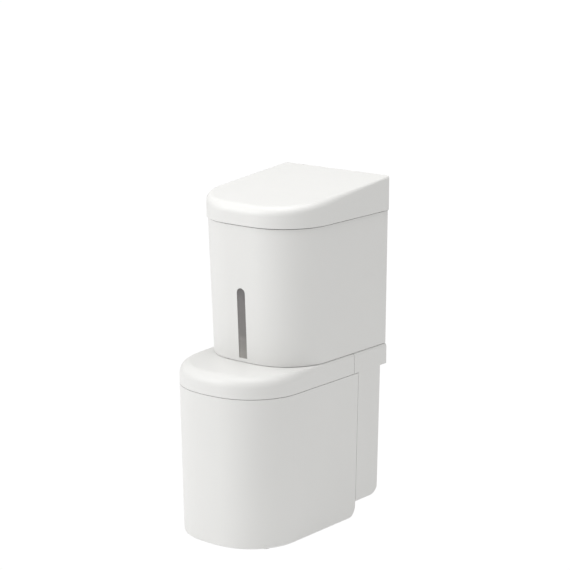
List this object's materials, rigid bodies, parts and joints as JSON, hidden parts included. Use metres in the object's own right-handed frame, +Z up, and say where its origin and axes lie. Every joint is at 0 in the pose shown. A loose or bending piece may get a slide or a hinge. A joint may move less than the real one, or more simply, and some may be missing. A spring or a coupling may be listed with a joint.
{
  "type": "trash compactor",
  "caption": "Slim two-tier household waste compactor with a D-shaped pull-out bin, a tower for the screw press and a sloping service lid.",
  "frame": {"origin": "on the floor, under the middle of the overall plan", "axes": "+Z up, the bowed front faces -Y, +X to the viewer's right"},
  "size_m": [0.305, 0.462, 0.7786],
  "materials": {
    "white_shell": "satin moulded",
    "smoked_window": "smoked, satin",
    "liner_plastic": "fine texture",
    "grey_plastic": "fine texture",
    "black_plastic": "fine texture",
    "bucket_plastic": "satin",
    "rubber": "moulded",
    "grey_rubber": "moulded",
    "zinc_steel": "zinc plated",
    "painted_steel": "powder coat",
    "bright_steel": "ground",
    "bronze": "machined bronze",
    "motor_paint": "satin black",
    "cast_alloy": "as cast",
    "belt_rubber": "ribbed",
    "board_green": "solder resist",
    "pointer_red": "gloss",
    "start_green": "gloss",
    "stop_red": "gloss",
    "brass": "plated",
    "nylon": "natural nylon"
  },
  "bodies": {
    "cabinet": {"back_cover": "white_shell", "back_frame": "painted_steel", "base_plate": "zinc_steel", "catch_magnet": "grey_plastic", "control_panel": "grey_plastic", "controller_board": "board_green", "cover_screws": "zinc_steel", "drawer_switch": "grey_plastic", "drive_belt": "belt_rubber", "drive_motor": "motor_paint", "drive_plate": "painted_steel", "foot_pads": "rubber", "frame_arms": "painted_steel", "guide_bushes": "bronze", "guide_plate": "painted_steel", "hinge_brackets": "painted_steel", "hood": "white_shell", "inlet_pins": "brass", "limit_switches": "grey_plastic", "motor_capacitor": "grey_plastic", "motor_screws": "zinc_steel", "odour_filter": "black_plastic", "power_inlet": "black_plastic", "rear_housing": "white_shell", "screw_bearings": "cast_alloy", "service_tray": "liner_plastic", "sight_window": "smoked_window", "slide_outers": "zinc_steel", "tie_nuts": "zinc_steel", "tie_rods": "bright_steel", "tower_shell": "white_shell", "wall_bumpers": "grey_rubber"},
    "drawer": {"bin_shell": "white_shell", "drawer_chassis": "zinc_steel", "drawer_back": "zinc_steel", "waste_bucket": "bucket_plastic", "slide_inners": "zinc_steel", "catch_plate": "zinc_steel"},
    "slide_runners": {"slide_middles": "zinc_steel", "slide_pads": "nylon"},
    "ram": {"ram_plate": "bright_steel", "ram_wiper": "rubber", "ram_tubes": "bright_steel", "screw_nuts": "bronze", "crosshead": "painted_steel", "level_pointer": "pointer_red"},
    "screw_left": {"lead_screw_left": "bright_steel", "pulley_left": "cast_alloy"},
    "screw_right": {"lead_screw_right": "bright_steel", "pulley_right": "cast_alloy"},
    "rotor": {"motor_shaft": "bright_steel", "motor_pulley": "cast_alloy"},
    "lid": {"top_lid": "white_shell", "lid_liner": "liner_plastic", "lid_gasket": "grey_rubber", "hinge_pins": "bright_steel"},
    "start_key": {"start_button": "start_green"},
    "stop_key": {"stop_button": "stop_red"},
    "mode_dial": {"mode_knob": "black_plastic"}
  },
  "joints": [
    {"name": "drawer_slide", "type": "slide", "parent": "cabinet", "child": "drawer", "axis": [0, -1, 0], "range_m": [0, 0.32]},
    {"name": "runner_slide", "type": "slide", "parent": "cabinet", "child": "slide_runners", "axis": [0, -1, 0], "range_m": [0, 0.16]},
    {"name": "ram_travel", "type": "slide", "parent": "cabinet", "child": "ram", "axis": [0, 0, 1], "range_m": [-0.18, 0]},
    {"name": "screw_left_turn", "type": "hinge", "parent": "cabinet", "child": "screw_left", "pos_m": [-0.08, -0.06, 0.5], "axis": [0, 0, 1], "range_deg": [0, 3240]},
    {"name": "screw_right_turn", "type": "hinge", "parent": "cabinet", "child": "screw_right", "pos_m": [0.08, -0.06, 0.5], "axis": [0, 0, 1], "range_deg": [0, 3240]},
    {"name": "motor_turn", "type": "hinge", "parent": "cabinet", "child": "rotor", "pos_m": [0, 0.12, 0.6], "axis": [0, 0, 1], "range_deg": [0, 9720]},
    {"name": "lid_hinge", "type": "hinge", "parent": "cabinet", "child": "lid", "pos_m": [0, 0.227, 0.706], "axis": [-1, 0, 0], "range_deg": [0, 80]},
    {"name": "start_press", "type": "slide", "parent": "cabinet", "child": "start_key", "axis": [0, 0, -1], "range_m": [0, 0.002], "stiffness_N_per_m": 500, "springref_m": -0.001},
    {"name": "stop_press", "type": "slide", "parent": "cabinet", "child": "stop_key", "axis": [0, 0, -1], "range_m": [0, 0.002], "stiffness_N_per_m": 500, "springref_m": -0.001},
    {"name": "mode_turn", "type": "hinge", "parent": "cabinet", "child": "mode_dial", "pos_m": [0.062, -0.084, 0.69], "axis": [0, 0, 1], "range_deg": [-45, 45]}
  ],
  "couplings": [
    {"joint": "runner_slide", "follows": "drawer_slide", "ratio": 0.5},
    {"joint": "screw_left_turn", "follows": "ram_travel", "rad_per_m": -314.16},
    {"joint": "screw_right_turn", "follows": "ram_travel", "rad_per_m": -314.16},
    {"joint": "motor_turn", "follows": "ram_travel", "rad_per_m": -942.48}
  ]
}
